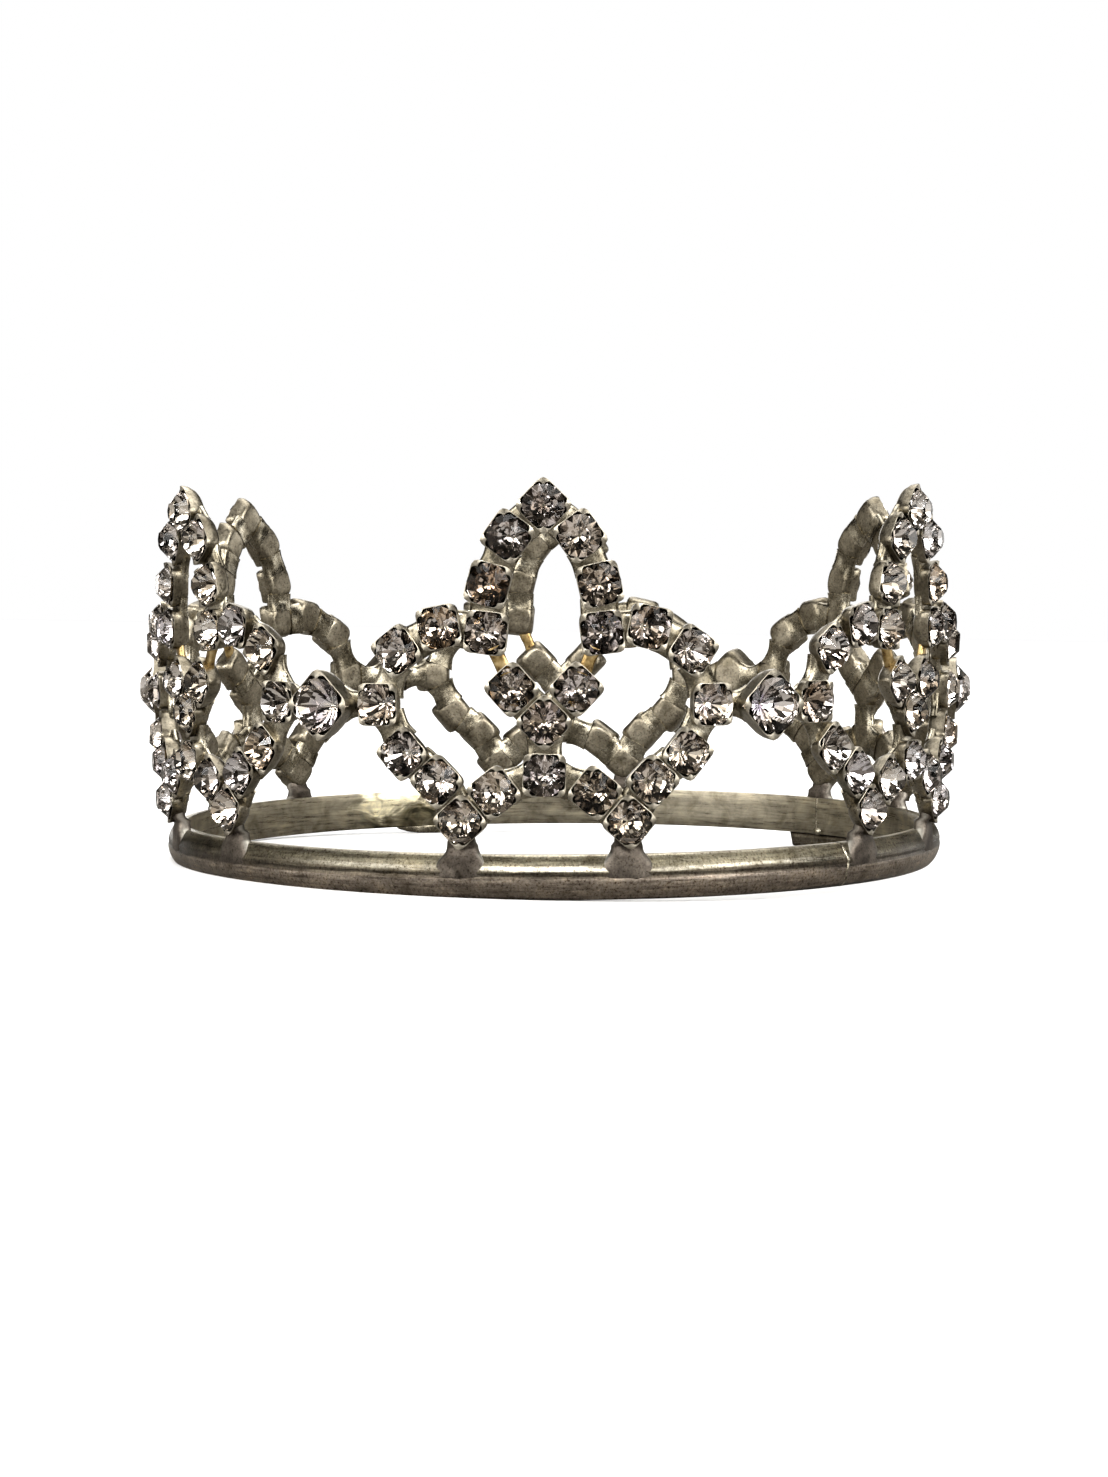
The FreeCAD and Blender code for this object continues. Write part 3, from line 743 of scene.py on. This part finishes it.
def band_section():
    """Radius and height round the band's half-round section, with small rounded edges."""
    section = [(BAND_IN, EDGE), (BAND_IN, 0.3 * BAND_HIGH), (BAND_IN, 0.7 * BAND_HIGH),
               (BAND_IN, BAND_HIGH - EDGE), (BAND_IN + 0.3 * EDGE, BAND_HIGH - 0.3 * EDGE),
               (BAND_IN + EDGE, BAND_HIGH), (BAND_LIP - EDGE, BAND_HIGH)]
    for index in range(BULGE_POINTS):
        share = 1 - (index + 0.25) / (BULGE_POINTS - 0.5)
        section.append((band_radius(BAND_HIGH * share) - groove(share), BAND_HIGH * share))
    section += [(BAND_LIP - EDGE, 0), (BAND_IN + EDGE, 0), (BAND_IN + 0.3 * EDGE, 0.3 * EDGE)]
    return section


def add_band(mesh, start, end):
    """The band between two angles, a little uneven but never past its solid's outer face."""
    section = band_section()
    steps = round((end - start) / BAND_STEP)
    points = []
    for index in range(steps + 1):
        angle = start + (end - start) * index / steps
        for radius, height in section:
            spot = polar(radius, angle, height)
            shift = wobble(spot, 6 * MM, 0.05 * MM)
            inward = abs(shift.x) if radius > BAND_LIP else 0
            lift = shift.z if EDGE < height < BAND_HIGH - EDGE else 0
            points.append(polar(radius - inward, angle, height + lift))
    mesh.add(points, loft_faces(steps + 1, len(section)))


def add_seam(mesh, angle, width):
    """A thin uneven bead of solder across the band's section at a butt joint."""
    section = band_section()
    points = []
    # each ring: place across the bead, of its half width, and how far it stands out of the band
    rings = ((-1.0, -0.045 * MM), (-0.4, 0.063 * MM), (0.4, 0.063 * MM), (1.0, -0.045 * MM))
    for offset, rise in rings:
        for radius, height in section:
            out = rise if radius > BAND_IN + EDGE else -rise
            turn = angle + offset * width / BAND_OUT
            jog = noise.noise(Vector((height * 900, angle, 0))) * 0.35 * MM
            points.append(polar(radius + out, turn + jog / BAND_OUT, min(height, BAND_HIGH)))
    mesh.add(points, loft_faces(len(rings), len(section)))


def add_arc_bar(mesh, radius, half_wide, heights, start, end, taper, bumpy):
    """A bar that follows the band, with rounded section and drawn-in ends. The higher the taper, the
    squarer the ends."""
    steps = 25
    middle = (heights[0] + heights[1]) / 2
    centres, halves, sides, depths = [], [], [], []
    for index in range(steps):
        share = index / (steps - 1)
        angle = start + (end - start) * share
        close = 1 - abs(2 * share - 1) ** taper
        close = 0.12 + 0.88 * math.sqrt(max(close, 0))
        centres.append(polar(radius, angle, heights[1] - (heights[1] - middle) * close))
        halves.append((half_wide * close, (heights[1] - heights[0]) / 2 * close))
        sides.append(polar(1, angle, 0))
        depths.append(Z_UP)
    tube(mesh, centres, halves, sides, depths, count=24, power=3.0, bumpy=bumpy)


def add_lump(mesh, centre, size, bumpy):
    """A rounded drop of solder."""
    rings = 9
    centres, halves, sides, depths = [], [], [], []
    for index in range(rings):
        turn = math.pi * (index + 0.35) / (rings - 0.3)
        centres.append(centre - Z_UP * (math.cos(turn) * size[2]))
        halves.append((size[0] * math.sin(turn), size[1] * math.sin(turn)))
        outward = Vector((centre.x, centre.y, 0)).normalized()
        sides.append(Z_UP.cross(outward))
        depths.append(outward)
    tube(mesh, centres, halves, sides, depths, count=18, bumpy=bumpy)


# ---------------------------------------------------------------- the crown's pieces

PLACES = [name.replace("arch_cups_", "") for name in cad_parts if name.startswith("arch_cups_")]
link_seats = seats_of("link_cups")


def make_cups_and_stones(group, seats):
    """One piece of cups and one of stones for a group."""
    stones_name = group.replace("cups", "stones")
    cups, stones = Mesh(), Mesh()
    for seat in seats:
        add_cup(cups, seat)
        add_stone(stones, seat)
    place(cups.make(f"{group}_made", [cup_silver], sharp=50), [group])
    place(stones.make(f"{stones_name}_cut", [crown_glass, stone_foil]), [stones_name])


def solid_middle(cloud):
    return Vector((cloud.max(0) + cloud.min(0)) / 2)


def make_motif(where):
    """One of the six motifs: cups and stones, the solder and ties between them, and two feet."""
    seats = []
    for group in ("arch", "heart", "scroll"):
        found = seats_of(f"{group}_cups_{where}")
        make_cups_and_stones(f"{group}_cups_{where}", found)
        seats += found
    solder = Mesh()
    for cloud in solids_of(f"solder_{where}"):
        first, second = nearest_two(solid_middle(cloud), seats + link_seats)
        waist = joint_waist(first, second)
        add_joint(solder, first, second, waist, SOLDER_FLARE, SOLDER_THICK, SOLDER_GAP)
    place(solder.make(f"solder_{where}_flowed", [solder_silver], sharp=60), [f"solder_{where}"])
    ties = Mesh()
    for cloud in solids_of(f"ties_{where}"):
        first, second = nearest_two(solid_middle(cloud), seats)
        add_joint(ties, first, second, TIE_WAIST, TIE_FLARE, TIE_THICK, TIE_GAP)
    place(ties.make(f"ties_{where}_wire", [brass], sharp=60), [f"ties_{where}"])
    feet = Mesh()
    for cloud in solids_of(f"feet_{where}"):
        spot = solid_middle(cloud)
        add_foot(feet, min(seats, key=lambda seat: (seat.origin - spot).length))
    place(feet.make(f"feet_{where}_flowed", [foot_silver], sharp=60), [f"feet_{where}"])


for where in sorted(PLACES):
    make_motif(where)
make_cups_and_stones("link_cups", link_seats)

main_band, infill_band, seams = Mesh(), Mesh(), Mesh()
add_band(main_band, SEAMS[1], SEAMS[0] + 2 * math.pi)
add_band(infill_band, SEAMS[0], SEAMS[1])
place(main_band.make("band_main_drawn", [band_silver], sharp=40), ["band_main"])
place(infill_band.make("band_infill_drawn", [band_silver], sharp=40), ["band_infill"])
for seam in SEAMS:
    add_seam(seams, seam, SEAM_HALF)
add_lump(seams, polar(BAND_IN + 0.15 * MM, SEAMS[1], 0.35 * MM), (0.8 * MM, 0.45 * MM, 0.5 * MM),
         0.05 * MM)
place(seams.make("seam_solder", [solder_silver], sharp=60), [])

plate_cloud = solids_of("joint_plate")[0]
plate_turn = np.arctan2(plate_cloud[:, 0], -plate_cloud[:, 1])
plate_reach = np.hypot(plate_cloud[:, 0], plate_cloud[:, 1])
plate_middle = (plate_reach.min() + plate_reach.max()) / 2
plate_half = (plate_reach.max() - plate_reach.min()) / 2
plate_heights = (plate_cloud[:, 2].min(), plate_cloud[:, 2].max())
plate = Mesh()
add_arc_bar(plate, plate_middle, plate_half, plate_heights, plate_turn.min(), plate_turn.max(), 24,
            0.03 * MM)
place(plate.make("joint_plate_filed", [band_silver], sharp=50), ["joint_plate"])

repair_cloud = solids_of("repair_solder")[0]
repair_turn = np.arctan2(repair_cloud[:, 0], -repair_cloud[:, 1]) % (2 * math.pi)
repair = Mesh()
add_arc_bar(repair, BAND_IN + 0.6 * MM, 0.6 * MM, (repair_cloud[:, 2].min(), 0.35 * MM),
            repair_turn.min(), repair_turn.max(), 2.5, 0.12 * MM)
place(repair.make("repair_solder_flowed", [solder_silver], sharp=60), ["repair_solder"])


# ---------------------------------------------------------------- floor, light and camera

def rest_plane():
    """Point and normal of the plane that the crown's three lowest points stand on."""
    front = polar((BAND_IN + BAND_LIP) / 2, 0, 0)
    right = solid_middle(plate_cloud)
    right.z = plate_cloud[:, 2].min()
    left = solid_middle(repair_cloud)
    left.z = repair_cloud[:, 2].min()
    normal = (right - front).cross(left - front).normalized()
    return front, normal if normal.z > 0 else -normal


def make_floor():
    """A pale plain floor. Gloss sees it darker, so that it doesn't wash out the metal."""
    point, normal = rest_plane()
    bpy.ops.mesh.primitive_circle_add(vertices=96, radius=6.0, fill_type="NGON")
    floor = bpy.context.object
    floor.name = "floor"
    tilt = Z_UP.rotation_difference(normal).to_matrix().to_4x4()
    floor.matrix_world = Matrix.Translation(point) @ tilt
    material, tree, shader = new_material("pale_floor")
    grain = noise_of(tree, object_place(tree), 40, detail=2)
    pale = ramp(tree, grain, [(0.3, (0.91, 0.91, 0.91)), (0.7, (0.93, 0.93, 0.93))])
    rays = tree.nodes.new("ShaderNodeLightPath")
    pale = mix(tree, rays.outputs["Is Glossy Ray"], pale, (0.16, 0.15, 0.135))
    tree.links.new(pale, shader.inputs["Base Color"])
    shader.inputs["Roughness"].default_value = 0.7
    shader.inputs["Specular IOR Level"].default_value = 0.2
    floor.data.materials.append(material)


CROWN_MIDDLE = Vector((0, 0, 20 * MM))


def area_light(name, spot, size, power):
    """A white panel of light that faces the crown."""
    data = bpy.data.lights.new(name, "AREA")
    data.shape = "RECTANGLE"
    data.size, data.size_y = size
    data.energy = power
    lamp = bpy.data.objects.new(name, data)
    lamp.location = spot
    lamp.rotation_euler = (CROWN_MIDDLE - Vector(spot)).to_track_quat("-Z", "Y").to_euler()
    bpy.context.scene.collection.objects.link(lamp)


def make_world():
    """Pale to the eye. Gloss and crystal see a studio of bright and dark panels."""
    world = bpy.data.worlds.new("studio")
    bpy.context.scene.world = world
    world.use_nodes = True
    tree = world.node_tree
    look = tree.nodes.new("ShaderNodeTexCoord").outputs["Generated"]
    cells = node(tree, "ShaderNodeTexVoronoi", Scale=2.6, Randomness=1.0)
    tree.links.new(look, cells.inputs["Vector"])
    panel = tree.nodes.new("ShaderNodeSeparateColor")
    tree.links.new(cells.outputs["Color"], panel.inputs[0])
    panels = ramp(tree, panel.outputs[0], [(0.0, (0.03, 0.026, 0.02)), (0.36, (0.1, 0.088, 0.07)),
                                           (0.54, (0.6, 0.55, 0.47)), (0.7, (1.5, 1.42, 1.28)),
                                           (0.84, (6.0, 5.9, 5.7))])
    aspect = tree.nodes.new("ShaderNodeSeparateXYZ")
    tree.links.new(look, aspect.inputs[0])
    front = spread(tree, aspect.outputs["Y"], -1.0, 0.2, 1.15, 0.5)
    panels = mix(tree, 1.0, panels, front, "MULTIPLY")
    rays = tree.nodes.new("ShaderNodeLightPath")
    sharp = mix(tree, rays.outputs["Is Diffuse Ray"], panels, (1.12, 1.12, 1.12))
    seen = mix(tree, rays.outputs["Is Camera Ray"], sharp, (1.0, 1.0, 1.0))
    background = tree.nodes["Background"]
    tree.links.new(seen, background.inputs["Color"])


def make_camera():
    """Level with the stones, in front and a little above the band, turned slightly to the crown."""
    distance, height = 319.2 * MM, 32.8 * MM
    around, down, roll = math.radians(1.24), math.radians(3.39), math.radians(-0.12)
    data = bpy.data.cameras.new("camera")
    data.sensor_width = 36
    data.lens = 66.37
    data.clip_start = 0.01
    camera = bpy.data.objects.new("camera", data)
    spin = Matrix.Rotation(around, 4, "Z")
    aim = Matrix.Rotation(math.pi / 2 - down, 4, "X") @ Matrix.Rotation(roll, 4, "Z")
    camera.matrix_world = spin @ Matrix.Translation((0, -distance, height)) @ aim
    bpy.context.scene.collection.objects.link(camera)
    bpy.context.scene.camera = camera


make_floor()
area_light("front", (-0.03, -0.5, 0.38), (0.16, 0.1), 1.6)
area_light("key_left", (-0.6, -0.35, 0.5), (0.3, 0.3), 2)
area_light("key_right", (0.6, -0.35, 0.45), (0.2, 0.4), 2.4)
area_light("top", (0.0, 0.2, 0.9), (0.6, 0.6), 4)
make_world()
make_camera()
bpy.context.scene.view_settings.view_transform = "Standard"
